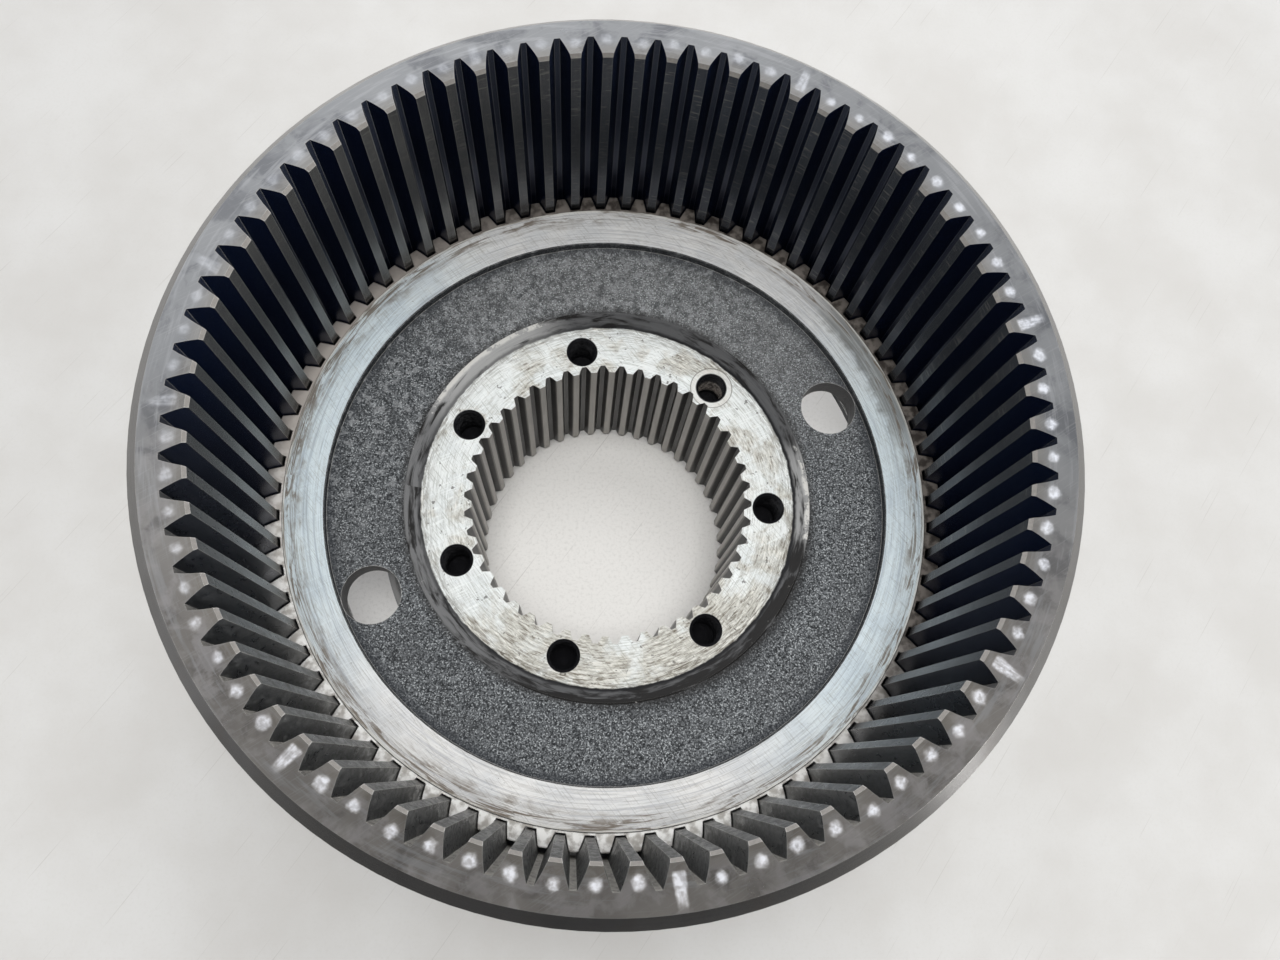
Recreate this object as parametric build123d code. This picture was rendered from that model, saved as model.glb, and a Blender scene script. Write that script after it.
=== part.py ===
"""Ring gear and splined ring-gear hub of a planetary wheel-end drive.

The axis of the gear train is Z.  The assembly stands on the lower end of the
hub, so Z = 0 is that end and the toothed annulus opens upwards.
All lengths are millimetres and all angles are degrees.
"""
from build123d import *
import os
from math import acos, cos, degrees, pi, radians, sin, sqrt, tan

os.makedirs("parts", exist_ok=True)

# ---------------------------------------------------------------- ring gear
GEAR_TEETH = 74
GEAR_MODULE = 4.618            # 5.5 diametral pitch
GEAR_PRESSURE_ANGLE = 20.0
RING_OUTER_R = 190.0
RING_TIP_R = 36.1 * GEAR_MODULE
RING_ROOT_R = 38.25 * GEAR_MODULE
RING_TOP_Z = 241.0
RING_WIDTH = 165.0
RING_EDGE_CHAMFER = 5.0
TOOTH_END_CHAMFER = 1.4
RING_BOTTOM_Z = RING_TOP_Z - RING_WIDTH

# ---------------------------------------------------------------- hub
BAND_Z = 116.5                 # machined band beside the teeth
TOOTH_FACE_DROP = 0.8          # the tooth faces sit this far below the band
HUB_RIM_BOTTOM_Z = 84.0
BAND_INNER_R = 144.0
BAND_OUTER_R = 164.4
HUB_TOOTH_TIP_R = 173.6
HUB_TOOTH_ROOT_R = 165.9
HUB_TIP_ROUND = 1.1
FLANK_GAP = 0.6                # free play between each pair of flanks
WEB_Z = 110.4
WEB_THICKNESS = 12.5
WEB_FILLET = 4.5
FACE_Z = 106.8                 # inner bolting face
FACE_OUTER_R = 97.3
CONE_OUTER_R = 104.6           # where the turned cone meets the cast web
NECK_R = 106.0
COLLAR_R = 123.0
COLLAR_TOP_Z = 74.0
COLLAR_BOTTOM_Z = 62.0
JOURNAL_R = 100.0
JOURNAL_CHAMFER = 3.0

# ---------------------------------------------------------------- spline
SPLINE_TEETH = 46
SPLINE_MODULE = 3.175          # 8 diametral pitch
SPLINE_PRESSURE_ANGLE = 30.0
SPLINE_TIP_R = 22.5 * SPLINE_MODULE
SPLINE_ROOT_R = 23.7 * SPLINE_MODULE
SPLINE_TOOTH_ANGLE = 5.63
SPLINE_LOWER_CHAMFER = 2.5

# ---------------------------------------------------------------- holes
TAPPED_COUNT = 7
TAPPED_PCD = 168.5
TAPPED_FIRST_ANGLE = 0.3
TAPPED_R = 7.0                 # M16 minor diameter is 14
TAPPED_MOUTH_R = 8.5
TAPPED_DEPTH = 24.0
THREAD_MAJOR_R = 8.0
THREAD_PITCH = 2.0
THREAD_LAND = 0.25             # flat crest left at the minor diameter
THREAD_ROOT = 0.25             # flat at the bottom of each groove
THREAD_TOP = 2.3               # depth of the first groove
THREAD_GROOVES = 9
DRILL_POINT_ANGLE = 118.0
SPOTFACED_HOLE = 1
SPOTFACE_R = 11.3
SPOTFACE_DEPTH = 0.25
WEB_HOLE_PCD = 258.3
WEB_HOLE_R = 14.65
WEB_HOLE_FIRST_ANGLE = 26.5
WEB_HOLE_COUNT = 2

# ---------------------------------------------------------------- lock ring
LOCK_THICKNESS = 5.0
LOCK_INNER_R = 168.2
LOCK_OUTER_R = 180.0
LOCK_BOTTOM_Z = 97.0
LOCK_GAP_ANGLE = 3.0
LOCK_GAP_AT = 268.0
RING_GROOVE_R = 180.5
AXIAL_PLAY = 0.25
GROOVE_CLEARANCE = 0.02


def involute(angle):
    """Involute function of an angle in radians."""
    return tan(angle) - angle


def space_half_angle(radius, teeth, module, pressure_angle):
    """Half the angle, in degrees, that a tooth space spans at this radius."""
    pitch_r = teeth * module / 2
    alpha = radians(pressure_angle)
    here = acos(pitch_r * cos(alpha) / radius)
    return degrees(pi / (2 * teeth) + involute(alpha) - involute(here))


def polar(radius, angle):
    """Point in the XY plane at this radius and angle in degrees."""
    return (radius * cos(radians(angle)), radius * sin(radians(angle)))


def arc_between(radius, start, end):
    """Arc about the axis from one angle to another."""
    middle = polar(radius, (start + end) / 2)
    return ThreePointArc(polar(radius, start), middle, polar(radius, end))


def flank(radii, angles):
    """One tooth flank as an arc through three points."""
    points = [polar(r, a) for r, a in zip(radii, angles)]
    return ThreePointArc(*points)


def space_outline(teeth, module, pressure_angle, tip_r, root_r, first_angle):
    """Closed outline of an internal gear: tip lands, flanks and space roots."""
    pitch = 360 / teeth
    radii = (tip_r, (tip_r + root_r) / 2, root_r)
    half = [space_half_angle(r, teeth, module, pressure_angle) for r in radii]
    edges = []
    for i in range(teeth):
        centre = first_angle + i * pitch
        rising = [centre - h for h in half]
        falling = [centre + h for h in half]
        edges.append(flank(radii, rising))
        edges.append(arc_between(root_r, centre - half[2], centre + half[2]))
        edges.append(flank(radii[::-1], falling[::-1]))
        edges.append(arc_between(tip_r, centre + half[0], centre + pitch - half[0]))
    return Wire(edges)


def hub_tooth_outline():
    """Closed outline of the hub's external teeth, which fill the ring's spaces."""
    pitch = 360 / GEAR_TEETH
    knee_r = HUB_TOOTH_TIP_R - HUB_TIP_ROUND
    radii = (HUB_TOOTH_ROOT_R, (HUB_TOOTH_ROOT_R + knee_r) / 2, knee_r)
    half = []
    for r in radii:
        free = degrees(FLANK_GAP / r)
        half.append(space_half_angle(r, GEAR_TEETH, GEAR_MODULE, GEAR_PRESSURE_ANGLE) - free)
    land = half[2] - degrees(0.8 * HUB_TIP_ROUND / HUB_TOOTH_TIP_R)
    bulge_r = HUB_TOOTH_TIP_R - 0.3 * HUB_TIP_ROUND
    bulge = half[2] * 0.7 + land * 0.3
    edges = []
    for i in range(GEAR_TEETH):
        centre = i * pitch
        edges.append(flank(radii, [centre - h for h in half]))
        edges.append(ThreePointArc(
            polar(knee_r, centre - half[2]),
            polar(bulge_r, centre - bulge),
            polar(HUB_TOOTH_TIP_R, centre - land)))
        edges.append(arc_between(HUB_TOOTH_TIP_R, centre - land, centre + land))
        edges.append(ThreePointArc(
            polar(HUB_TOOTH_TIP_R, centre + land),
            polar(bulge_r, centre + bulge),
            polar(knee_r, centre + half[2])))
        edges.append(flank(radii[::-1], [centre + h for h in half[::-1]]))
        edges.append(arc_between(
            HUB_TOOTH_ROOT_R, centre + half[0], centre + pitch - half[0]))
    return Wire(edges)


def prism(outline, bottom, top, around_r=None):
    """Solid of an outline, or of the ring between it and a larger circle."""
    if around_r is None:
        face = Face(outline)
    else:
        face = Face(Wire([Edge.make_circle(around_r)]), [outline])
    return extrude(Pos(0, 0, bottom) * face, amount=top - bottom, dir=(0, 0, 1))


def turned(points):
    """Solid of revolution about Z from (radius, height) points."""
    outline = Polyline(*[(r, 0, z) for r, z in points], close=True)
    return revolve(make_face(outline), Axis.Z, 360)


def ring_gear():
    """Annulus with straight internal teeth and a groove for the lock ring."""
    outline = space_outline(
        GEAR_TEETH, GEAR_MODULE, GEAR_PRESSURE_ANGLE, RING_TIP_R, RING_ROOT_R, 0)
    body = prism(outline, RING_BOTTOM_Z, RING_TOP_Z, around_r=RING_OUTER_R)
    c = RING_EDGE_CHAMFER
    t = TOOTH_END_CHAMFER
    for end, inward in ((RING_TOP_Z, -1), (RING_BOTTOM_Z, 1)):
        body -= turned([
            (RING_OUTER_R + 1, end + inward * (c + 1)),
            (RING_OUTER_R + 1, end - inward),
            (RING_OUTER_R - c - 1, end - inward)])
        body -= turned([
            (RING_TIP_R - 1, end + inward * (t + 1)),
            (RING_TIP_R - 1, end - inward),
            (RING_TIP_R + t + 1, end - inward)])
    low = LOCK_BOTTOM_Z - GROOVE_CLEARANCE
    high = LOCK_BOTTOM_Z + LOCK_THICKNESS + GROOVE_CLEARANCE
    body -= turned([
        (RING_TIP_R - 5, low), (RING_GROOVE_R, low),
        (RING_GROOVE_R, high), (RING_TIP_R - 5, high)])
    return body


def hub_blank():
    """Turned and cast body of the hub before any teeth or holes."""
    web_under = WEB_Z - WEB_THICKNESS
    f = WEB_FILLET
    k = f * (1 - 1 / sqrt(2))
    tooth_face = BAND_Z - TOOTH_FACE_DROP
    bore = SPLINE_TIP_R - 3
    return turned([
        (bore, 0), (JOURNAL_R - JOURNAL_CHAMFER, 0), (JOURNAL_R, JOURNAL_CHAMFER),
        (JOURNAL_R, COLLAR_BOTTOM_Z),
        (COLLAR_R - 1.5, COLLAR_BOTTOM_Z), (COLLAR_R, COLLAR_BOTTOM_Z + 1.5),
        (COLLAR_R, COLLAR_TOP_Z - 3), (COLLAR_R - 3, COLLAR_TOP_Z),
        (NECK_R + 3, web_under - 3), (NECK_R + 6, web_under),
        (BAND_INNER_R - f, web_under), (BAND_INNER_R - k, web_under - k),
        (BAND_INNER_R, web_under - f),
        (BAND_INNER_R + 2, HUB_RIM_BOTTOM_Z),
        (HUB_TOOTH_TIP_R - 1.5, HUB_RIM_BOTTOM_Z),
        (HUB_TOOTH_TIP_R, HUB_RIM_BOTTOM_Z + 1.5),
        (HUB_TOOTH_TIP_R, tooth_face - 0.5), (HUB_TOOTH_TIP_R - 0.5, tooth_face),
        (BAND_OUTER_R + 0.4, tooth_face), (BAND_OUTER_R, BAND_Z),
        (BAND_INNER_R + 0.5, BAND_Z), (BAND_INNER_R, BAND_Z - 0.5),
        (BAND_INNER_R, WEB_Z + 0.8), (BAND_INNER_R - k * 0.6, WEB_Z + k * 0.6),
        (BAND_INNER_R - f, WEB_Z),
        (CONE_OUTER_R, WEB_Z), (FACE_OUTER_R + 1.2, FACE_Z + 0.6),
        (FACE_OUTER_R, FACE_Z), (bore, FACE_Z)])


def tapped_hole_tool(spotfaced):
    """Blind hole at the origin: countersunk mouth, thread grooves, drill point."""
    point = TAPPED_R / tan(radians(DRILL_POINT_ANGLE / 2))
    sink = TAPPED_MOUTH_R - TAPPED_R
    slope = (THREAD_PITCH - THREAD_LAND - THREAD_ROOT) / 2
    profile = [(0, 1), (TAPPED_MOUTH_R, 1), (TAPPED_MOUTH_R, 0), (TAPPED_R, -sink)]
    for i in range(THREAD_GROOVES):
        top = THREAD_TOP + i * THREAD_PITCH
        profile.append((TAPPED_R, -top))
        profile.append((THREAD_MAJOR_R, -top - slope))
        profile.append((THREAD_MAJOR_R, -top - slope - THREAD_ROOT))
        profile.append((TAPPED_R, -top - 2 * slope - THREAD_ROOT))
    profile += [(TAPPED_R, -TAPPED_DEPTH), (0, -TAPPED_DEPTH - point)]
    tool = turned(profile)
    if spotfaced:
        tool += Pos(0, 0, -SPOTFACE_DEPTH) * Cylinder(
            SPOTFACE_R, 1, align=(Align.CENTER, Align.CENTER, Align.MIN))
    return tool


def ring_gear_hub():
    """Hub: external teeth, web, bolting face, spline, journal and holes."""
    body = hub_blank()
    body -= prism(hub_tooth_outline(), HUB_RIM_BOTTOM_Z - 1, BAND_Z + 1,
                  around_r=HUB_TOOTH_TIP_R + 5)
    low = LOCK_BOTTOM_Z - GROOVE_CLEARANCE
    high = LOCK_BOTTOM_Z + LOCK_THICKNESS + AXIAL_PLAY + GROOVE_CLEARANCE
    body -= turned([
        (HUB_TOOTH_ROOT_R - 0.3, low), (HUB_TOOTH_TIP_R + 5, low),
        (HUB_TOOTH_TIP_R + 5, high), (HUB_TOOTH_ROOT_R - 0.3, high)])
    spline = space_outline(
        SPLINE_TEETH, SPLINE_MODULE, SPLINE_PRESSURE_ANGLE,
        SPLINE_TIP_R, SPLINE_ROOT_R, SPLINE_TOOTH_ANGLE + 180 / SPLINE_TEETH)
    body -= prism(spline, -1, FACE_Z + 1)
    c = SPLINE_LOWER_CHAMFER
    body -= turned([(0, -1), (SPLINE_TIP_R + c + 1, -1), (SPLINE_TIP_R - 1, c + 1), (0, c + 1)])
    for i in range(TAPPED_COUNT):
        x, y = polar(TAPPED_PCD / 2, TAPPED_FIRST_ANGLE + i * 360 / TAPPED_COUNT)
        body -= Pos(x, y, FACE_Z) * tapped_hole_tool(i == SPOTFACED_HOLE)
    for i in range(WEB_HOLE_COUNT):
        x, y = polar(WEB_HOLE_PCD / 2, WEB_HOLE_FIRST_ANGLE + i * 360 / WEB_HOLE_COUNT)
        body -= Pos(x, y, WEB_Z - WEB_THICKNESS - 2) * Cylinder(
            WEB_HOLE_R, WEB_THICKNESS + 4, align=(Align.CENTER, Align.CENTER, Align.MIN))
    return body


def retaining_ring():
    """Split spring ring that sits in both grooves and holds the hub endways."""
    low = LOCK_BOTTOM_Z
    high = low + LOCK_THICKNESS
    body = turned([
        (LOCK_INNER_R, low), (LOCK_OUTER_R - 0.4, low), (LOCK_OUTER_R, low + 0.4),
        (LOCK_OUTER_R, high - 0.4), (LOCK_OUTER_R - 0.4, high), (LOCK_INNER_R, high)])
    half = LOCK_GAP_ANGLE / 2
    far = LOCK_OUTER_R + 20
    wedge = Polyline(
        (0, 0), polar(far, LOCK_GAP_AT - half), polar(far, LOCK_GAP_AT + half), close=True)
    return body - extrude(Pos(0, 0, low - 1) * make_face(wedge), amount=LOCK_THICKNESS + 2)


NODES = {
    "ring_gear": ring_gear,
    "ring_gear_hub": ring_gear_hub,
    "retaining_ring": retaining_ring,
}

for name, maker in NODES.items():
    shape = maker()
    solids = shape.solids()
    print(name, len(solids), "solid", round(sum(s.volume for s in solids) / 1000, 1), "cm3")
    export_step(shape, f"parts/{name}.step")
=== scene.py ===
"""Looks of the planetary ring gear and hub: camera, studio, floor and metal finishes.

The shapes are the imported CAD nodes.  Every finish is worked out from the
object's own coordinates, in millimetres, so it stays with the metal.
"""
import math

import bpy
from mathutils import Matrix, Vector


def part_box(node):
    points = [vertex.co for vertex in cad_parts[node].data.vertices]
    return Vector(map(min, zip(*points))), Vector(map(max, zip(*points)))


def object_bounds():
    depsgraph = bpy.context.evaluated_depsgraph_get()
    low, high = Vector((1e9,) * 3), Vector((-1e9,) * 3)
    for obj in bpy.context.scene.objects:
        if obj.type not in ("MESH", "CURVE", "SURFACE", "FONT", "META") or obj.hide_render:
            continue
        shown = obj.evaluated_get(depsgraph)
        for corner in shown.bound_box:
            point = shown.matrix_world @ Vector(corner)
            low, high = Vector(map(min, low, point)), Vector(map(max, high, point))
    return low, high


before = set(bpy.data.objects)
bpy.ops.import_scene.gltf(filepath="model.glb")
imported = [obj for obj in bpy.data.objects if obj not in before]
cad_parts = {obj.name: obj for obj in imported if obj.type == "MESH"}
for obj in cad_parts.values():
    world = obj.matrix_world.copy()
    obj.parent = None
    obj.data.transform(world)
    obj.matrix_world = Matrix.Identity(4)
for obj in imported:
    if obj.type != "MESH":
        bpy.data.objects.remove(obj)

CAD_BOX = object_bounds()

# ---------------------------------------------------------------- sizes, mm
RING_TOP = 1000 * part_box("ring_gear")[1].z
BAND_Z = 1000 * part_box("ring_gear_hub")[1].z
TEETH = 74
PITCH = 2 * math.pi / TEETH        # radians from tooth to tooth
CHAMFER = 5.0
CHAMFER_R = 185.0                  # where the end face meets the chamfer
EASED_R = 178.0                    # the eased tooth ends lie inside this
TIP_R = 166.7
ROOT_R = 176.64
BAND_IN, BAND_OUT = 144.0, 164.4
FACE_Z = 106.8
FACE_R, CONE_R = 97.3, 104.6
UPPER_Z = 90.0                     # above this lies only the hub's upper side
SPLINE_R = 75.3
CREST_R = 71.6                     # spline tooth crests
HOLE_CIRCLE_R = 84.25
HOLE_COUNT = 7
HOLE_R = 8.5
HOLE_TURN = math.radians(0.3)
HOLE_DEEP_Z = 60.0                 # below the tapped holes
SPOTFACE_R = 11.3
WEB_HOLE_CIRCLE_R = 129.15
WEB_HOLE_COUNT = 2
WEB_HOLE_R = 14.65
WEB_HOLE_TURN = math.radians(26.5)
COLLAR_HIGH = 74.0
PAINTED_LIGHT_R = 190.0                    # radius of the paler floor under the object, painted light that lifts the shade there
FLOOR_HALF = 1400.0

# ---------------------------------------------------------------- paint marks, mm
MARK_R = 175.0                     # the marks' widths are measured here
DOT_R = 173.4                      # nearest dot centre
DOT_SPREAD = 2.4
FIRST_STROKE = 37                  # tooth with the first stroke
STROKE_STEP = 10
LAST_STROKE = 70                   # teeth counted on from the first
STROKE_FROM_R, STROKE_TO_R = 170.6, 182.5

# ------------------------------- where each finish, painted light and painted shade is strongest, azimuth in degrees
PAINT_FRESH_AT = 315
END_FACE_BROWN_AT = 268
RIM_PAINTED_SHADE_AT = 258
DIRT_AT = 258
RING_TEETH_DUSTY_AND_LIT_AT = 262
TIPS_GREY_AND_LIT_AT = 200
EDGES_WORN_AND_LIT_AT = 225
WEB_PAINTED_LIGHT_AT, WEB_PAINTED_SHADE_AT = 80, 215
FACE_STAINED_AT = 285
WEB_LEATHERY_AT, WEB_SHADE_AND_GRIME_AT = 118, 316
BAND_COOL_SHEEN_AT = 352                 # and on the opposite side
BAND_STAINED_AT, BAND_GOUGED_AT = 30, 195
CONE_GRIMY_AT, CONE_PAINTED_SHEEN_AT, CONE_FOOT_DARK_AT = 300, 190, 340
CONE_BARE_AT = (133, 4)
HUB_TEETH_PALE_AND_LIT_AT, HUB_TEETH_DUSTY_AND_LIT_AT = 220, 252

# ---------------------------------------------------------------- light levels
ROOM_LEVELS = (0.90, 0.10)     # at 40 degrees and below, and straight above
FRONT_SHARE = 0.10             # of that, from behind the camera
LOW_LEVEL = 1.6                # added below 12 degrees, gone above 30
GLOW_LEVEL = 0.35              # added towards the window
WINDOW = (118, 49)             # its azimuth and elevation in degrees
BACKDROP_LEVEL = 0.80


def light(level):
    """Scene-linear value of a display grey from 0 to 255."""
    v = level / 255
    return v / 12.92 if v <= 0.04045 else ((v + 0.055) / 1.055) ** 2.4


def tone(red, green, blue):
    """Scene-linear colour of a display colour from 0 to 255."""
    return (light(red), light(green), light(blue), 1.0)


class Graph:
    """A material's node tree, with short calls for the sums a finish needs."""

    def __init__(self, name):
        self.material = bpy.data.materials.new(name)
        self.material.use_nodes = True
        self.tree = self.material.node_tree
        self.tree.nodes.clear()
        place = self.node("ShaderNodeTexCoord")
        self.point = self.vector("MULTIPLY", place.outputs["Object"], (1000, 1000, 1000))
        self.normal = place.outputs["Normal"]
        self.x, self.y, self.z = self.split(self.point)
        _, _, self.up = self.split(self.normal)
        self.radius = self.math("SQRT", self.math(
            "ADD", self.math("MULTIPLY", self.x, self.x), self.math("MULTIPLY", self.y, self.y)))
        self.angle = self.math("ARCTAN2", self.y, self.x)

    def node(self, kind, **settings):
        made = self.tree.nodes.new(kind)
        for key, value in settings.items():
            setattr(made, key, value)
        return made

    def feed(self, socket, value):
        if isinstance(value, bpy.types.NodeSocket):
            self.tree.links.new(value, socket)
        else:
            socket.default_value = value

    def math(self, operation, *values, clamp=False):
        made = self.node("ShaderNodeMath", operation=operation, use_clamp=clamp)
        for socket, value in zip(made.inputs, values):
            self.feed(socket, value)
        return made.outputs[0]

    def add(self, a, b):
        return self.math("ADD", a, b)

    def sub(self, a, b):
        return self.math("SUBTRACT", a, b)

    def mul(self, *values):
        total = values[0]
        for value in values[1:]:
            total = self.math("MULTIPLY", total, value)
        return total

    def invert(self, value):
        return self.math("SUBTRACT", 1.0, value, clamp=True)

    def either(self, a, b):
        return self.math("MAXIMUM", a, b)

    def vector(self, operation, a, b):
        made = self.node("ShaderNodeVectorMath", operation=operation)
        self.feed(made.inputs[0], a)
        self.feed(made.inputs[1], b)
        return made.outputs[0]

    def shifted(self, x, y, z):
        """The point moved aside, for a noise unlike the others."""
        return self.vector("ADD", self.point, (x, y, z))

    def split(self, value):
        made = self.node("ShaderNodeSeparateXYZ")
        self.feed(made.inputs[0], value)
        return made.outputs

    def join(self, x, y, z):
        made = self.node("ShaderNodeCombineXYZ")
        for socket, value in zip(made.inputs, (x, y, z)):
            self.feed(socket, value)
        return made.outputs[0]

    def rise(self, value, low, high, to=(0.0, 1.0)):
        """Smooth change as value passes from low to high."""
        made = self.node("ShaderNodeMapRange", interpolation_type="SMOOTHSTEP")
        for socket, number in zip(made.inputs, (value, low, high, *to)):
            self.feed(socket, number)
        return made.outputs[0]

    def between(self, value, low, high, soft):
        """1 from low to high, and 0 more than soft outside them."""
        up = self.rise(value, low - soft, low)
        down = self.rise(value, high, high + soft, (1.0, 0.0))
        return self.mul(up, down)

    def blend(self, amount, a, b):
        """Colour from a to b."""
        made = self.node("ShaderNodeMix", data_type="RGBA")
        self.feed(made.inputs[0], amount)
        self.feed(made.inputs[6], a)
        self.feed(made.inputs[7], b)
        return made.outputs[2]

    def blend_value(self, amount, a, b):
        """Number from a to b."""
        made = self.node("ShaderNodeMix", data_type="FLOAT")
        for place, value in ((0, amount), (2, a), (3, b)):
            self.feed(made.inputs[place], value)
        return made.outputs[0]

    def noise(self, where, size, detail=2.0, rough=0.5, twist=0.0):
        """Cloud noise from 0 to 1 whose patches are about size across."""
        made = self.node("ShaderNodeTexNoise")
        self.feed(made.inputs["Vector"], where)
        made.inputs["Scale"].default_value = 1 / size
        made.inputs["Detail"].default_value = detail
        made.inputs["Roughness"].default_value = rough
        made.inputs["Distortion"].default_value = twist
        return made.outputs[0]

    def stretched(self, radial, around, along):
        """Coordinates for marks that run round the axis: a bigger number is finer."""
        return self.join(
            self.mul(self.radius, radial), self.mul(self.angle, around), self.mul(self.z, along))

    def turned_lines(self, fineness, around=2.5):
        """Fine lines left by turning."""
        return self.noise(self.stretched(fineness, around, fineness), 1.0, 3.0, 0.7)

    def brushed(self, azimuth, width, length):
        """Coordinates for straight scratches that run at an azimuth in degrees."""
        c = math.cos(math.radians(azimuth))
        s = math.sin(math.radians(azimuth))
        along = self.add(self.mul(self.x, c / length), self.mul(self.y, s / length))
        across = self.sub(self.mul(self.y, c / width), self.mul(self.x, s / width))
        return self.join(along, across, 0.0)

    def toward(self, azimuth):
        """1 on the side that faces an azimuth in degrees, and -1 on the opposite side."""
        return self.math("COSINE", self.sub(self.angle, math.radians(azimuth)))

    def edge(self, width):
        """1 where a sharp edge lies within width, from the rounded normal."""
        rounded = self.node("ShaderNodeBevel", samples=6)
        rounded.inputs["Radius"].default_value = width / 1000
        true = self.node("ShaderNodeNewGeometry").outputs["Normal"]
        made = self.node("ShaderNodeVectorMath", operation="DOT_PRODUCT")
        self.feed(made.inputs[0], rounded.outputs[0])
        self.feed(made.inputs[1], true)
        return self.rise(made.outputs["Value"], 0.995, 0.80)

    def near_hole(self, circle_r, count, turn):
        """Distance from the nearest of count holes evenly spaced on a circle."""
        step = 2 * math.pi / count
        turned = self.math("ADD", self.angle, step / 2 - turn + 2 * math.pi)
        folded = self.sub(self.math("MODULO", turned, step), step / 2)
        across = self.sub(self.mul(self.radius, self.math("COSINE", folded)), circle_r)
        aside = self.mul(self.radius, self.math("SINE", folded))
        return self.math("SQRT", self.add(self.mul(across, across), self.mul(aside, aside)))

    def finish(self, color, metallic, roughness, height, strength, distance):
        """One shader from the worked-out values; height is the fine relief in mm."""
        shader = self.node("ShaderNodeBsdfPrincipled")
        self.feed(shader.inputs["Base Color"], color)
        self.feed(shader.inputs["Metallic"], metallic)
        self.feed(shader.inputs["Roughness"], roughness)
        bump = self.node("ShaderNodeBump")
        bump.inputs["Strength"].default_value = strength
        bump.inputs["Distance"].default_value = distance / 1000
        self.feed(bump.inputs["Height"], height)
        self.feed(shader.inputs["Normal"], bump.outputs[0])
        output = self.node("ShaderNodeOutputMaterial")
        self.feed(output.inputs["Surface"], shader.outputs[0])
        return self.material


# ---------------------------------------------------------------- ring gear
def paint_marks(g):
    """White counting marks: a dot on every tooth and a stroke on each tenth."""
    turns = g.math("DIVIDE", g.add(g.angle, 2 * math.pi), PITCH)
    index = g.math("FLOOR", turns)
    aside = g.mul(g.sub(g.sub(turns, index), 0.5), PITCH * MARK_R)
    tooth = g.math("MODULO", index, TEETH)
    dice = g.node("ShaderNodeTexWhiteNoise", noise_dimensions="1D")
    g.feed(dice.inputs["W"], tooth)
    first, second, third = g.split(dice.outputs["Color"])
    wobble = g.mul(g.sub(g.noise(g.point, 2.6, 2.0), 0.5), 2.4)
    grain = g.noise(g.point, 1.6, 3.0, 0.6)

    across = g.sub(g.radius, g.add(DOT_R, g.mul(first, DOT_SPREAD)))
    side = g.sub(aside, g.mul(g.sub(second, 0.5), 1.4))
    reach = g.math("SQRT", g.add(g.mul(across, across), g.mul(side, side)))
    size = g.add(g.add(2.2, g.mul(third, 0.6)), wobble)
    dot = g.rise(g.sub(reach, size), -1.5, 0.9, (1.0, 0.0))

    count = g.math("MODULO", g.add(tooth, TEETH - FIRST_STROKE), TEETH)
    tenth = g.math("COMPARE", g.math("MODULO", count, STROKE_STEP), 0.0, 0.1)
    tenth = g.mul(tenth, g.math("LESS_THAN", count, LAST_STROKE + 1))
    lean = g.mul(g.sub(first, 0.5), g.mul(g.sub(g.radius, 176.0), 0.35))
    half = g.add(g.rise(g.radius, 171.0, 184.0, (2.7, 1.9)), g.mul(wobble, 0.4))
    off_line = g.math("ABSOLUTE", g.sub(aside, lean))
    end = g.add(STROKE_TO_R, g.mul(second, 2.5))
    sides = g.rise(g.sub(off_line, half), -1.1, 0.5, (1.0, 0.0))
    start = g.rise(g.radius, STROKE_FROM_R, STROKE_FROM_R + 1.2)
    fade = g.rise(g.sub(g.radius, end), -5.0, 0.5, (1.0, 0.0))
    tail = g.mul(sides, g.mul(start, fade))
    wipe = g.noise(g.join(g.mul(aside, 1.1), g.mul(g.radius, 0.10), g.mul(tooth, 7.3)), 1.0, 2.0)
    stroke = g.mul(tail, g.rise(wipe, 0.36, 0.58, (0.60, 0.95)))
    mark = g.either(g.mul(dot, g.invert(tenth)), g.mul(stroke, tenth))
    body = g.rise(grain, 0.35, 0.62, (0.50, 0.95))
    fresh = g.rise(g.toward(PAINT_FRESH_AT), -0.80, 0.15, (0.28, 0.66))
    return g.mul(mark, body, fresh)


def ground_face(g):
    """Clean satin steel with cloudy wipe marks, browner on the front side."""
    cloud = g.noise(g.point, 40.0, 3.0, 0.5)
    blot = g.noise(g.shifted(91, 17, 5), 15.0, 4.0, 0.6, 0.4)
    pale_streaks = g.noise(g.stretched(0.35, 5.0, 0.1), 1.0, 4.0, 0.65, 0.3)
    hair = g.noise(g.brushed(35, 0.5, 18.0), 1.0, 2.0, 0.5)
    front = g.rise(g.toward(END_FACE_BROWN_AT), -0.1, 0.6)
    clean = g.blend(cloud, tone(153, 155, 157), tone(178, 179, 179))
    brown = g.blend(cloud, tone(144, 140, 135), tone(180, 175, 168))
    steel = g.blend(front, clean, brown)
    dull = g.blend(front, tone(116, 118, 122), tone(118, 115, 111))
    steel = g.blend(g.rise(blot, 0.48, 0.66, (0.0, 0.62)), steel, dull)
    steel = g.blend(g.rise(pale_streaks, 0.50, 0.64, (0.0, 0.45)), steel, tone(196, 197, 198))
    mottle = g.noise(g.shifted(13, 71, 9), 9.0, 4.0, 0.6, 0.3)
    steel = g.blend(g.mul(front, g.rise(mottle, 0.46, 0.64, (0.0, 0.60))), steel, tone(196, 192, 190))
    steel = g.blend(g.rise(g.radius, 175.0, 169.0, (0.0, 0.40)), steel, tone(158, 151, 138))
    return g.blend(g.rise(hair, 0.58, 0.66, (0.0, 0.20)), steel, tone(208, 208, 206))


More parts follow.
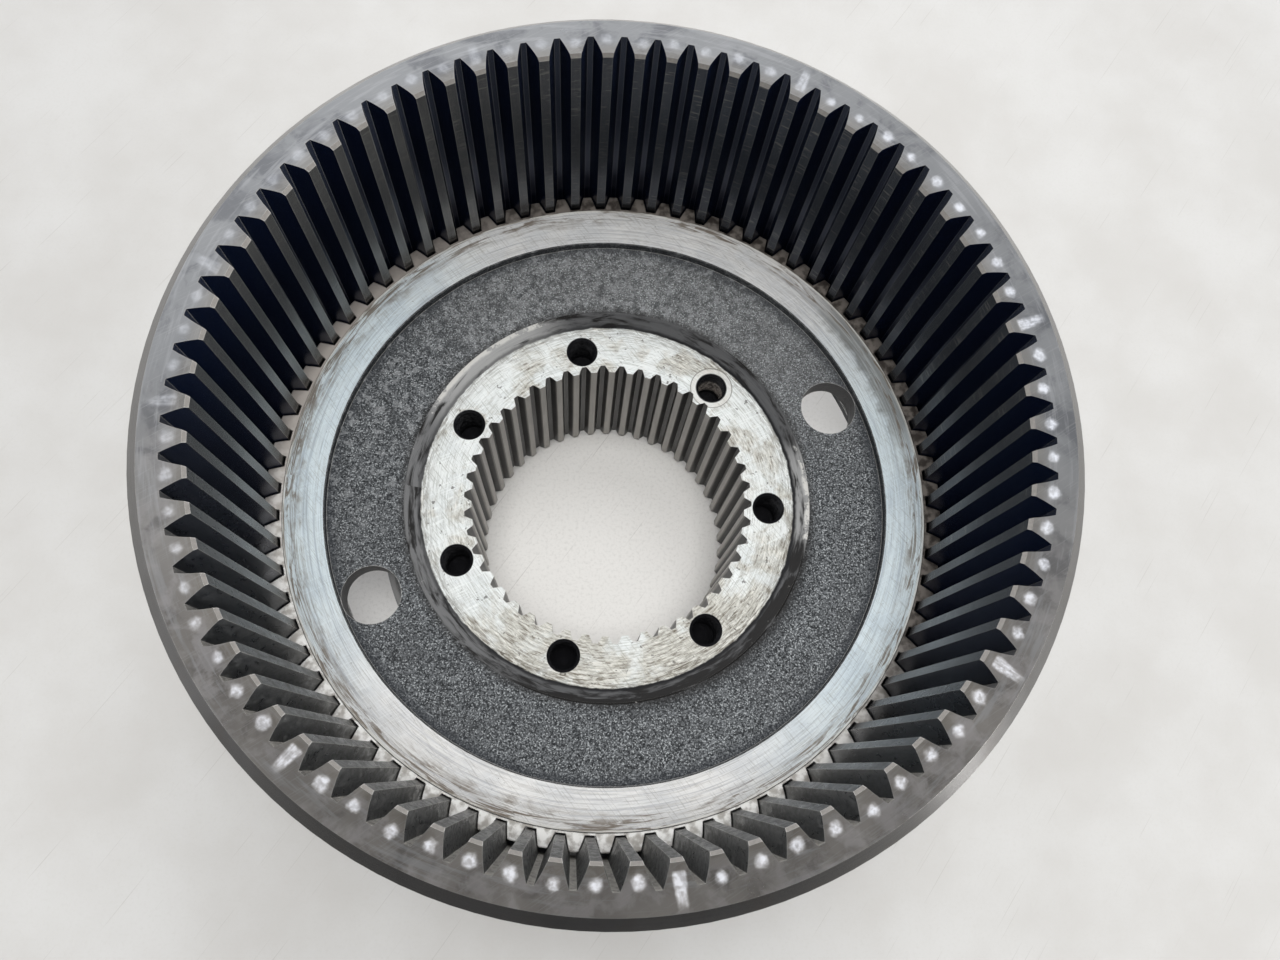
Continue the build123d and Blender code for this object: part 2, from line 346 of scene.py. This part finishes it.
def turned_rim(g):
    """Turned chamfer, and an outer wall with a patina of wear, turned lines and light rust; both are
    painted darker on one side as painted shade.
    """
    lines = g.turned_lines(2.2)
    rust = g.noise(g.point, 17.0, 5.0, 0.7, 0.6)
    steel = g.blend(lines, tone(88, 87, 87), tone(126, 124, 121))
    # Painted shade: the chamfer and wall are darker on this side, standing for a dark reflection there.
    steel = g.blend(g.rise(g.toward(RIM_PAINTED_SHADE_AT), 0.3, 0.9, (0.0, 0.5)), steel, tone(50, 50, 51))
    wall = g.rise(g.z, RING_TOP - CHAMFER, RING_TOP - CHAMFER - 1.0)
    patina = g.noise(g.stretched(0.0, 3.5, 0.06), 1.0, 4.0, 0.6)
    steel = g.blend(g.mul(wall, g.rise(patina, 0.35, 0.70, (0.0, 0.28))), steel, tone(158, 155, 150))
    turned = g.noise(g.stretched(0.0, 1.2, 0.8), 1.0, 4.0, 0.75)
    steel = g.blend(g.mul(wall, g.rise(turned, 0.50, 0.66, (0.0, 0.24))), steel, tone(176, 174, 170))
    return g.blend(g.rise(rust, 0.50, 0.72, (0.0, 0.22)), steel, tone(84, 74, 64))


def tooth_dirt(g):
    """Where dried dirt lies on the front teeth."""
    smudge = g.noise(g.join(g.mul(g.x, 0.30), g.mul(g.y, 0.30), g.mul(g.z, 0.11)), 1.0, 5.0, 0.7, 0.6)
    front = g.rise(g.toward(DIRT_AT), 0.35, 0.95)
    return g.mul(front, g.rise(smudge, 0.36, 0.66))


def dusty_and_lit_side(g):
    """1 on the front teeth of the ring gear, whose oil has dried to dust; they are also painted lighter
    there as painted light from the window.
    """
    return g.rise(g.toward(RING_TEETH_DUSTY_AND_LIT_AT), 0.05, 0.85)


def tooth_skin(g, land, root):
    """Oiled flanks and roots, blue-black with a painted bluish reflection, grey tip lands with cross ticks
    that are grey on one side from wear and painted reflection, roots smeared at the front, and front teeth
    lighter from dried dust and painted light.
    """
    upright = g.join(g.mul(g.x, 0.55), g.mul(g.y, 0.55), g.mul(g.z, 0.05))
    streak = g.noise(upright, 1.0, 3.0, 0.6)
    fleck = g.noise(g.join(g.mul(g.x, 0.45), g.mul(g.y, 0.45), g.mul(g.z, 0.18)), 1.0, 4.0, 0.62)
    cross = g.noise(g.join(g.mul(g.x, 0.12), g.mul(g.y, 0.12), g.mul(g.z, 1.1)), 1.0, 1.0)
    front = dusty_and_lit_side(g)
    # Tip lands grey on this side from wear and a painted reflection, blue-black on the other side.
    wear_and_sheen = g.rise(g.toward(TIPS_GREY_AND_LIT_AT), -0.6, 0.5)
    # Painted reflection: the blue in the flank and root tones stands for a bluish sheen on the oiled
    # steel.
    flank = g.blend(streak, tone(13, 27, 60), tone(38, 47, 66))
    # Front flanks lighter: dried dust, and painted light from the window they face.
    flank = g.blend(front, flank, g.blend(streak, tone(50, 52, 56), tone(118, 119, 118)))
    grey = g.blend(streak, tone(86, 87, 89), tone(126, 125, 123))
    grey = g.blend(g.rise(g.z, 140.0, 215.0, (0.0, 0.5)), grey, tone(62, 63, 65))
    tip = g.blend(wear_and_sheen, g.blend(streak, tone(42, 47, 58), tone(66, 69, 75)), grey)
    tip = g.blend(g.rise(cross, 0.62, 0.68, (0.0, 0.5)), tip, tone(136, 134, 130))
    deep = g.blend(streak, tone(14, 27, 56), tone(36, 44, 60))
    # Front roots pale: dried dust, and painted light from the window they face.
    deep = g.blend(g.mul(front, 0.8), deep, g.blend(fleck, tone(128, 122, 113), tone(216, 211, 201)))
    skin = g.blend(root, g.blend(land, flank, tip), deep)
    dried = g.blend(g.rise(fleck, 0.36, 0.64), tone(76, 75, 73), tone(126, 125, 121))
    return g.blend(g.mul(tooth_dirt(g), 0.7), skin, dried)


def ring_finish():
    """Ground end face, turned chamfer and wall, dark oiled teeth, and edges paler from wear and a painted
    highlight.
    """
    g = Graph("ring_steel")
    level = g.math("ABSOLUTE", g.up)
    top = g.mul(g.rise(g.up, 0.85, 0.95), g.rise(g.z, RING_TOP - 0.5, RING_TOP - 0.1))
    rim = g.mul(g.rise(g.radius, CHAMFER_R - 0.1, CHAMFER_R + 0.1), g.rise(level, 0.95, 0.85))
    inner = g.mul(g.rise(g.radius, EASED_R, EASED_R - 1.0), g.rise(level, 0.5, 0.3))
    land = g.mul(inner, g.rise(g.radius, TIP_R + 0.25, TIP_R + 0.1))
    root = g.mul(inner, g.rise(g.radius, ROOT_R - 0.25, ROOT_R - 0.1))
    eased = g.mul(g.rise(g.radius, EASED_R, EASED_R - 1.0), g.between(g.up, 0.55, 0.85, 0.08))
    mark = g.mul(paint_marks(g), top)

    speck = g.noise(g.point, 1.4, 3.0, 0.7)
    patch = g.noise(g.point, 20.0, 3.0, 0.6)
    lines = g.turned_lines(2.2)
    color = g.blend(rim, ground_face(g), turned_rim(g))
    color = g.blend(inner, color, tooth_skin(g, land, root))
    color = g.blend(eased, color, g.blend(speck, tone(104, 101, 97), tone(142, 138, 132)))
    # Edges paler from wear and a painted highlight along them.
    wear_and_sheen = g.mul(g.edge(0.8), g.rise(g.toward(EDGES_WORN_AND_LIT_AT), -0.8, 0.3, (0.25, 0.80)))
    color = g.blend(wear_and_sheen, color, tone(190, 188, 182))
    color = g.blend(mark, color, tone(222, 225, 232))

    dirt = g.mul(inner, g.either(tooth_dirt(g), g.mul(root, dusty_and_lit_side(g))))
    oily = g.mul(inner, g.invert(land), g.rise(g.toward(RING_TEETH_DUSTY_AND_LIT_AT), 0.60, 0.10))
    metallic = g.blend_value(g.either(g.mul(eased, 0.5), g.mul(dirt, 0.8)), 0.94, 0.0)
    metallic = g.blend_value(oily, metallic, 0.55)
    metallic = g.blend_value(mark, metallic, 0.0)
    rough = g.add(0.33, g.mul(g.sub(patch, 0.5), 0.35))
    rough = g.blend_value(rim, rough, g.add(0.20, g.mul(g.sub(patch, 0.5), 0.25)))
    rough = g.blend_value(inner, rough, 0.27)
    rough = g.blend_value(dirt, rough, 0.60)
    rough = g.blend_value(eased, rough, 0.5)
    rough = g.blend_value(mark, rough, 0.7)
    height = g.add(g.mul(lines, 0.5), g.mul(speck, 0.4))
    height = g.add(height, g.mul(mark, 2.0))
    return g.finish(color, metallic, rough, height, 0.3, 0.05)


# ---------------------------------------------------------------- hub
def cast_skin(g):
    """Sandy cast web: light grains, a painted shadow as a dark rim by the band, painted light on one side
    and painted shade on another, leathery patches, and grime with painted shade by the cone.
    """
    grit = g.noise(g.point, 1.0, 2.0, 0.7)
    grain = g.noise(g.shifted(7, 3, 1), 0.8, 1.0)
    cloud = g.noise(g.point, 26.0, 4.0, 0.6, 0.5)
    cast = g.blend(g.rise(grit, 0.38, 0.62), tone(42, 44, 46), tone(115, 118, 120))
    cast = g.blend(g.rise(grain, 0.58, 0.68, (0.0, 0.90)), cast, tone(180, 184, 185))
    cast = g.blend(g.rise(grain, 0.42, 0.32, (0.0, 0.75)), cast, tone(26, 27, 28))
    cast = g.blend(g.rise(cloud, 0.45, 0.70, (0.0, 0.2)), cast, tone(70, 70, 71))
    # Painted light and shade: the web is paler on one side and darker on another.
    cast = g.blend(g.rise(g.toward(WEB_PAINTED_LIGHT_AT), 0.3, 0.95, (0.0, 0.14)), cast, tone(196, 196, 194))
    cast = g.blend(g.rise(g.toward(WEB_PAINTED_SHADE_AT), 0.2, 0.9, (0.0, 0.12)), cast, tone(30, 31, 33))
    # Painted shadow: dark rim where the recessed web meets the band's edge.
    cast = g.blend(g.rise(g.radius, 137.0, 143.5, (0.0, 0.65)), cast, tone(34, 37, 42))
    hide = g.noise(g.shifted(41, 5, 3), 3.6, 3.0, 0.65)
    leathery = g.rise(g.toward(WEB_LEATHERY_AT), -0.1, 0.8)
    cast = g.blend(g.mul(leathery, g.rise(hide, 0.52, 0.66, (0.0, 0.5))), cast, tone(158, 160, 161))
    cast = g.blend(g.mul(leathery, g.rise(hide, 0.48, 0.36, (0.0, 0.6))), cast, tone(52, 54, 56))
    # Dark web by the cone on this side: painted shade and grime.
    shade = g.mul(g.rise(g.toward(WEB_SHADE_AND_GRIME_AT), 0.60, 0.95), g.rise(g.radius, 116.0, 104.0, (0.0, 0.7)))
    cast = g.blend(shade, cast, tone(34, 34, 35))
    return g.blend(g.rise(g.radius, 110.0, 105.0, (0.0, 0.55)), cast, tone(42, 40, 38))


def scuffed_metal(g, turning):
    """Pale machined metal with straight scuffs, and turned lines as strong as turning."""
    cloud = g.noise(g.point, 18.0, 4.0, 0.6)
    ring = g.noise(g.stretched(1.6, 7.0, 1.0), 1.0, 4.0, 0.7)
    first = g.noise(g.brushed(28, 0.7, 16.0), 1.0, 3.0, 0.6)
    second = g.noise(g.brushed(-48, 0.6, 12.0), 1.0, 3.0, 0.6)
    metal = g.blend(g.rise(cloud, 0.3, 0.7), tone(216, 217, 217), tone(235, 234, 231))
    metal = g.blend(g.rise(ring, 0.50, 0.60, (0.0, turning)), metal, tone(164, 160, 152))
    metal = g.blend(g.rise(ring, 0.46, 0.38, (0.0, turning)), metal, tone(246, 246, 244))
    metal = g.blend(g.rise(first, 0.54, 0.62, (0.0, turning)), metal, tone(246, 246, 244))
    return g.blend(g.rise(second, 0.55, 0.64, (0.0, turning)), metal, tone(136, 130, 118))


def bolting_face(g, hole, clean):
    """Scuffed face with brown oil stains, dirtiest at the front, and a spotface outlined in painted shade.
    """
    stain = g.noise(g.shifted(31, 57, 3), 20.0, 5.0, 0.65, 0.4)
    mottle = g.noise(g.stretched(1.0, 13.0, 1.0), 1.0, 4.0, 0.75, 0.5)
    scrape = g.noise(g.stretched(0.9, 9.0, 1.0), 1.0, 4.0, 0.75, 0.5)
    pit = g.noise(g.shifted(5, 9, 2), 3.0, 2.0, 0.6)
    dirtier = g.rise(g.toward(FACE_STAINED_AT), 0.2, 0.95, (0.0, 0.14))
    here = g.rise(g.add(stain, dirtier), 0.48, 0.66)
    metal = g.blend(0.30, scuffed_metal(g, 0.75), tone(240, 251, 248))
    metal = g.blend(g.mul(here, 0.35), metal, tone(190, 178, 152))
    patchy = g.mul(g.rise(mottle, 0.42, 0.62), g.rise(scrape, 0.40, 0.60, (0.35, 1.0)))
    metal = g.blend(g.mul(here, patchy, 0.90), metal, tone(88, 75, 57))
    metal = g.blend(g.mul(here, g.rise(mottle, 0.42, 0.32, (0.0, 0.8))), metal, tone(244, 240, 232))
    metal = g.blend(g.rise(pit, 0.67, 0.71, (0.0, 0.7)), metal, tone(66, 60, 54))
    edge_dirt = g.mul(g.rise(g.radius, 90.0, 97.0), g.rise(mottle, 0.40, 0.60))
    metal = g.blend(g.mul(edge_dirt, 0.6), metal, tone(104, 98, 88))
    inside = g.mul(clean, g.between(hole, HOLE_R, SPOTFACE_R - 0.3, 0.2))
    metal = g.blend(g.mul(inside, 0.6), metal, tone(222, 220, 214))
    # Painted shade: a dark line along the spotface's step.
    outline = g.mul(clean, g.between(hole, SPOTFACE_R - 0.15, SPOTFACE_R + 0.15, 0.2))
    return g.blend(g.mul(outline, 0.85), metal, tone(100, 95, 86))


def turned_band(g):
    """Bright turned band: a painted bluish sheen at both sides, stained in one place, gouged by the teeth,
    and a painted highlight along its outer edge.
    """
    uneven = g.mul(g.sub(g.noise(g.point, 9.0, 3.0, 0.6), 0.5), 14.0)
    gouge = g.noise(g.stretched(0.42, 5.5, 0.4), 1.0, 4.0, 0.7, 1.0)
    groove = g.noise(g.stretched(0.9, 2.2, 0.9), 1.0, 3.0, 0.65, 0.4)
    speck = g.noise(g.point, 2.6, 3.0, 0.7)
    outer = g.rise(g.add(g.radius, uneven), 153.0, 162.0)
    band = scuffed_metal(g, 0.32)
    band = g.blend(g.rise(groove, 0.52, 0.66, (0.0, 0.5)), band, tone(158, 160, 166))
    # Painted reflection: a bluish sheen on both sides of the band.
    cool_sheen = g.vector("MULTIPLY", band, (0.86, 0.97, 1.03))
    band = g.blend(g.rise(g.math("ABSOLUTE", g.toward(BAND_COOL_SHEEN_AT)), 0.50, 0.95), band, cool_sheen)
    stained = g.mul(
        g.rise(g.toward(BAND_STAINED_AT), 0.93, 0.99), g.rise(g.add(g.radius, uneven), 151.0, 157.0),
        g.rise(groove, 0.35, 0.55, (0.55, 1.0)))
    band = g.blend(g.mul(stained, 0.8), band, tone(122, 124, 122))
    more = g.rise(g.toward(BAND_GOUGED_AT), -0.3, 0.6, (0.0, 0.05))
    gouged = g.mul(outer, g.rise(g.add(gouge, more), 0.495, 0.60, (0.08, 0.90)))
    band = g.blend(gouged, band, tone(112, 100, 86))
    band = g.blend(g.rise(speck, 0.68, 0.74, (0.0, 0.6)), band, tone(92, 88, 82))
    # Painted highlight: a pale line along the outer step's edge, broken by the gouges.
    lit_step_edge = g.mul(g.rise(g.radius, BAND_OUT - 1.3, BAND_OUT - 0.4), g.rise(gouge, 0.62, 0.48))
    return g.blend(g.mul(lit_step_edge, 0.7), band, tone(220, 218, 210))


def turned_cone(g, uneven):
    """Conical edge: turned steel with greasy dirt, a painted sheen on one side, a dark line at its foot of
    painted shade and dirt, and bare chipped spots.
    """
    lines = g.turned_lines(3.0, 3.0)
    greasy = g.noise(g.stretched(0.3, 5.0, 0.3), 1.0, 4.0, 0.65, 0.5)
    chip = g.noise(g.shifted(3, 8, 1), 5.0, 4.0, 0.7)
    bare = g.either(
        g.rise(g.toward(CONE_BARE_AT[0]), 0.87, 0.99),
        g.rise(g.toward(CONE_BARE_AT[1]), 0.94, 0.99, (0.0, 0.75)))
    outside = g.rise(g.add(g.radius, g.mul(uneven, 1.2)), 99.0, 101.5, (0.04, 0.17))
    grimy = g.mul(g.rise(g.toward(CONE_GRIMY_AT), 0.35, 0.90), outside)
    steel = g.blend(lines, tone(66, 67, 70), tone(104, 104, 103))
    # Painted sheen: the cone's steel is paler on this side.
    steel = g.blend(g.rise(g.toward(CONE_PAINTED_SHEEN_AT), 0.4, 0.95, (0.0, 0.5)), steel, tone(132, 132, 132))
    steel = g.blend(bare, steel, g.blend(lines, tone(140, 141, 141), tone(186, 185, 182)))
    greasy = g.sub(g.add(greasy, grimy), g.mul(bare, 0.10))
    grease = g.blend(lines, tone(10, 10, 10), tone(38, 36, 34))
    cone = g.blend(g.rise(greasy, 0.44, 0.64), steel, grease)
    # Dark line at the cone's foot, in the crease by the face: painted shade and dirt.
    foot_shade_and_dirt = g.rise(g.add(g.radius, g.mul(uneven, 0.8)), FACE_R + 2.4, FACE_R + 0.8)
    foot_shade_and_dirt = g.mul(foot_shade_and_dirt, g.rise(g.toward(CONE_FOOT_DARK_AT), -0.9, 0.5, (0.55, 1.0)))
    cone = g.blend(foot_shade_and_dirt, cone, tone(20, 20, 22))
    chipped = g.rise(g.add(chip, g.mul(bare, 0.34)), 0.68, 0.78)
    rim = g.mul(g.rise(g.add(g.radius, uneven), CONE_R - 2.2, CONE_R - 0.8), chipped)
    return g.blend(g.mul(rim, 0.85), cone, tone(216, 214, 208))


def hub_finish():
    """Cast web, turned band and bolting face, oily holes and grey spline, with painted shade in the holes
    and spline spaces, a painted highlight in one hole and painted highlight and shade on edges.
    """
    g = Graph("hub_casting")
    flat = g.rise(g.up, 0.80, 0.95)
    hole = g.near_hole(HOLE_CIRCLE_R, HOLE_COUNT, HOLE_TURN)
    web_hole = g.near_hole(WEB_HOLE_CIRCLE_R, WEB_HOLE_COUNT, WEB_HOLE_TURN)
    clean = g.rise(g.toward(math.degrees(HOLE_TURN) + 360 / HOLE_COUNT), 0.95, 0.96)
    uneven = g.mul(g.sub(g.noise(g.point, 6.0, 3.0, 0.6), 0.5), 2.0)
    patch = g.noise(g.shifted(31, 57, 3), 18.0, 6.0, 0.65)
    grit = g.noise(g.point, 1.9, 3.0, 0.7)
    lines = g.turned_lines(2.6)
    grey = g.blend(lines, tone(112, 112, 114), tone(156, 155, 152))

    level = g.mul(flat, g.rise(g.z, BAND_Z - 0.4, BAND_Z - 0.2))
    on_band = g.mul(level, g.rise(g.radius, BAND_IN, BAND_IN + 0.4))
    on_teeth = g.mul(g.rise(g.radius, BAND_OUT + 0.1, BAND_OUT + 0.5), g.rise(g.z, UPPER_Z, UPPER_Z + 5.0))
    on_face = g.mul(
        flat, g.rise(g.add(g.radius, uneven), FACE_R + 0.4, FACE_R - 0.4),
        g.rise(g.z, UPPER_Z, UPPER_Z + 10.0))
    on_cone = g.mul(
        g.between(g.radius, FACE_R, CONE_R + 0.6, 0.4), g.rise(g.z, UPPER_Z, UPPER_Z + 10.0))
    on_spline = g.mul(g.rise(g.radius, SPLINE_R + 1.0, SPLINE_R + 0.4), g.rise(g.up, 0.6, 0.4))
    turned_low = g.rise(g.z, COLLAR_HIGH + 2.0, COLLAR_HIGH)
    in_hole = g.mul(
        g.rise(hole, HOLE_R + 0.25, HOLE_R - 0.1), g.rise(g.z, HOLE_DEEP_Z, HOLE_DEEP_Z + 5.0),
        g.rise(g.z, FACE_Z - 0.02, FACE_Z - 0.35))
    in_web_hole = g.mul(g.rise(web_hole, WEB_HOLE_R + 0.3, WEB_HOLE_R + 0.05), g.rise(g.up, 0.6, 0.3))

    # Hub tooth faces: dark brown on one side and pale on the other, partly dust and oil and partly painted
    # light and shade from the window.
    pale_and_lit_side = g.rise(g.toward(HUB_TEETH_PALE_AND_LIT_AT), -0.55, 0.60)
    mottle = g.rise(g.noise(g.point, 5.0, 3.0, 0.55), 0.36, 0.60)
    brown = g.blend(pale_and_lit_side, g.blend(mottle, tone(58, 53, 49), tone(112, 106, 100)), tone(172, 165, 158))
    dust_and_light = g.blend(mottle, tone(176, 172, 165), tone(240, 239, 235))
    brown = g.blend(g.rise(g.toward(HUB_TEETH_DUSTY_AND_LIT_AT), 0.0, 0.75), brown, dust_and_light)
    upright = g.noise(g.join(g.x, g.y, g.mul(g.z, 0.06)), 1.6, 3.0, 0.6)
    crest = g.blend(upright, tone(140, 136, 131), tone(188, 184, 178))
    # Painted shade: the spline is dark below its crests, in its narrow spaces.
    spline = g.blend(g.rise(g.radius, CREST_R, CREST_R + 1.2), crest, tone(48, 46, 45))

    color = g.blend(turned_low, cast_skin(g), grey)
    color = g.blend(on_cone, color, turned_cone(g, uneven))
    color = g.blend(on_face, color, bolting_face(g, hole, clean))
    color = g.blend(on_teeth, color, brown)
    color = g.blend(on_band, color, turned_band(g))
    color = g.blend(on_spline, color, spline)
    # Web hole walls dark grey: machined steel with painted shade inside the holes.
    color = g.blend(in_web_hole, color, g.blend(lines, tone(88, 88, 89), tone(128, 127, 125)))
    # Painted highlight: a lighter band in the thread of one hole.
    pale_streaks = g.mul(clean, g.between(g.z, FACE_Z - 18.0, FACE_Z - 11.0, 4.0))
    pale_streaks = g.mul(pale_streaks, g.rise(grit, 0.38, 0.62, (0.25, 1.0)))
    # The hole walls are near black: oil, and painted shade inside the blind holes.
    thread = g.blend(pale_streaks, tone(26, 26, 28), tone(164, 155, 146))
    color = g.blend(in_hole, color, thread)
    edge = g.mul(g.edge(0.7), g.invert(in_hole))
    # Edges paler from wear and a painted highlight; the hub teeth's edges darker from grime and painted
    # shade in the gaps by the ring teeth.
    color = g.blend(g.mul(edge, g.invert(on_teeth), 0.6), color, tone(206, 204, 198))
    color = g.blend(g.mul(edge, on_teeth, 0.9), color, tone(24, 23, 22))

    machined = g.either(g.either(on_band, on_face), g.either(on_spline, on_cone))
    metallic = g.blend_value(machined, 0.10, 0.25)
    rough = g.blend_value(machined, 0.62, 0.40)
    rough = g.blend_value(in_hole, rough, 0.18)
    rough = g.add(rough, g.mul(g.sub(patch, 0.5), 0.2))
    as_cast = g.invert(g.either(g.either(machined, turned_low), on_teeth))
    scratched = g.mul(g.add(lines, g.noise(g.brushed(28, 0.7, 16.0), 1.0, 3.0, 0.6)), 0.20)
    dimple = g.noise(g.shifted(17, 4, 8), 4.5, 2.0, 0.5)
    rugged = g.add(g.mul(grit, 3.0), g.mul(dimple, 4.0))
    height = g.blend_value(as_cast, scratched, rugged)
    return g.finish(color, metallic, rough, height, 0.6, 0.30)


# ---------------------------------------------------------------- lock ring
def spring_finish():
    """Dark oiled spring steel with fine marks round it."""
    g = Graph("spring_steel")
    lines = g.turned_lines(3.0, 3.0)
    patch = g.noise(g.point, 7.0, 3.0, 0.6)
    color = g.blend(lines, tone(58, 60, 64), tone(92, 92, 94))
    # Edges paler from wear and a painted highlight.
    color = g.blend(g.mul(g.edge(0.3), 0.6), color, tone(160, 158, 154))
    rough = g.add(0.28, g.mul(patch, 0.2))
    return g.finish(color, 0.9, rough, lines, 0.3, 0.05)


# ---------------------------------------------------------------- studio
def floor_finish():
    """Plain pale worktop with faint clouding and hair scratches, paler under the object as painted light.
    """
    g = Graph("pale_floor")
    cloud = g.noise(g.point, 90.0, 4.0, 0.6)
    grain = g.noise(g.point, 2.0, 3.0, 0.7)
    hair = g.noise(g.brushed(57, 0.9, 70.0), 1.0, 1.0)
    color = g.blend(g.rise(cloud, 0.3, 0.7), tone(182, 180, 176), tone(190, 189, 186))
    # Painted light: the floor is paler under the object, lifting the shade there.
    color = g.blend(g.rise(g.radius, PAINTED_LIGHT_R, PAINTED_LIGHT_R - 40.0), color, tone(230, 228, 224))
    color = g.blend(g.rise(grain, 0.45, 0.75, (0.0, 0.30)), color, tone(178, 176, 170))
    color = g.blend(g.rise(hair, 0.70, 0.76, (0.0, 0.4)), color, tone(150, 146, 140))
    rough = g.add(0.5, g.mul(g.sub(cloud, 0.5), 0.2))
    return g.finish(color, 0.0, rough, grain, 0.15, 0.1)


def add_floor():
    """Worktop that the hub stands on."""
    half = FLOOR_HALF / 1000
    mesh = bpy.data.meshes.new("floor")
    corners = [(-half, -half, 0), (half, -half, 0), (half, half, 0), (-half, half, 0)]
    mesh.from_pydata(corners, [], [(0, 1, 2, 3)])
    floor = bpy.data.objects.new("floor", mesh)
    floor.location.z = CAD_BOX[0].z
    bpy.context.collection.objects.link(floor)
    mesh.materials.append(floor_finish())


def direction(azimuth, elevation):
    """Unit vector from the object; azimuth 90 degrees is +Y."""
    a, e = math.radians(azimuth), math.radians(elevation)
    return Vector((math.cos(a) * math.cos(e), math.sin(a) * math.cos(e), math.sin(e)))


def add_panel(name, azimuth, elevation, distance, size, power, mirrored=True):
    """Soft light aimed at the object."""
    away = direction(azimuth, elevation)
    middle = (CAD_BOX[0] + CAD_BOX[1]) / 2
    data = bpy.data.lights.new(name, "AREA")
    data.shape = "SQUARE"
    data.size = size
    data.energy = power
    panel = bpy.data.objects.new(name, data)
    panel.location = middle + away * distance
    panel.rotation_mode = "QUATERNION"
    panel.rotation_quaternion = (-away).to_track_quat("-Z", "Y")
    panel.visible_camera = False
    panel.visible_glossy = mirrored
    bpy.context.collection.objects.link(panel)


def add_room():
    """Soft room light: bright low down and at the window, dim overhead and in front."""
    world = bpy.data.worlds.new("room")
    bpy.context.scene.world = world
    world.use_nodes = True
    tree = world.node_tree
    tree.nodes.clear()

    def spread(value, low, high, from_level, to_level):
        made = tree.nodes.new("ShaderNodeMapRange")
        for socket, number in zip(made.inputs[1:], (low, high, from_level, to_level)):
            socket.default_value = number
        tree.links.new(value, made.inputs[0])
        return made.outputs[0]

    def combine(operation, a, b):
        made = tree.nodes.new("ShaderNodeMath")
        made.operation = operation
        tree.links.new(a, made.inputs[0])
        tree.links.new(b, made.inputs[1])
        return made.outputs[0]

    way = tree.nodes.new("ShaderNodeTexCoord").outputs["Generated"]
    split = tree.nodes.new("ShaderNodeSeparateXYZ")
    tree.links.new(way, split.inputs[0])
    height = spread(split.outputs[2], 0.64, 1.0, *ROOM_LEVELS)
    front = spread(split.outputs[1], -0.75, -0.35, FRONT_SHARE, 1.0)
    window = tree.nodes.new("ShaderNodeVectorMath")
    window.operation = "DOT_PRODUCT"
    tree.links.new(way, window.inputs[0])
    window.inputs[1].default_value = direction(*WINDOW)
    glow = spread(window.outputs["Value"], 0.80, 0.98, 0.0, GLOW_LEVEL)
    low = spread(split.outputs[2], 0.20, 0.50, LOW_LEVEL, 0.0)
    level = combine("MULTIPLY", combine("ADD", height, low), front)
    level = combine("ADD", level, glow)
    seen = tree.nodes.new("ShaderNodeLightPath").outputs["Is Camera Ray"]
    pick = tree.nodes.new("ShaderNodeMix")
    pick.data_type = "FLOAT"
    tree.links.new(seen, pick.inputs[0])
    tree.links.new(level, pick.inputs[2])
    pick.inputs[3].default_value = BACKDROP_LEVEL
    back = tree.nodes.new("ShaderNodeBackground")
    tree.links.new(pick.outputs[0], back.inputs["Strength"])
    back.inputs["Color"].default_value = tone(250, 251, 255)
    out = tree.nodes.new("ShaderNodeOutputWorld")
    tree.links.new(back.outputs[0], out.inputs[0])


def add_camera():
    """Hand-held view from above and a little in front, 27 mm equivalent."""
    right = Vector((0.99684, 0.04601, 0.06479))
    up = Vector((-0.06217, 0.95934, 0.27531))
    back = right.cross(up).normalized()
    data = bpy.data.cameras.new("camera")
    data.sensor_width = 36
    data.lens = 28.166
    camera = bpy.data.objects.new("camera", data)
    turn = Matrix((right, up, back)).transposed().to_4x4()
    camera.matrix_world = Matrix.Translation((-0.01039, -0.13559, 0.61359)) @ turn
    bpy.context.collection.objects.link(camera)
    bpy.context.scene.camera = camera


def dress(node, material):
    """Gives a CAD node its finish in every material slot."""
    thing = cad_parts[node]
    for place in thing.material_slots:
        place.link = "OBJECT"
        place.material = material


dress("ring_gear", ring_finish())
dress("ring_gear_hub", hub_finish())
dress("retaining_ring", spring_finish())
add_floor()
add_room()
add_panel("overhead", 270, 87, 2.0, 0.8, 31, mirrored=False)
add_panel("window", 70, 62, 2.2, 0.9, 14, mirrored=False)
add_panel("lamp", -30, 8, 2.2, 0.3, 20)
add_camera()
bpy.context.scene.view_settings.view_transform = "Standard"
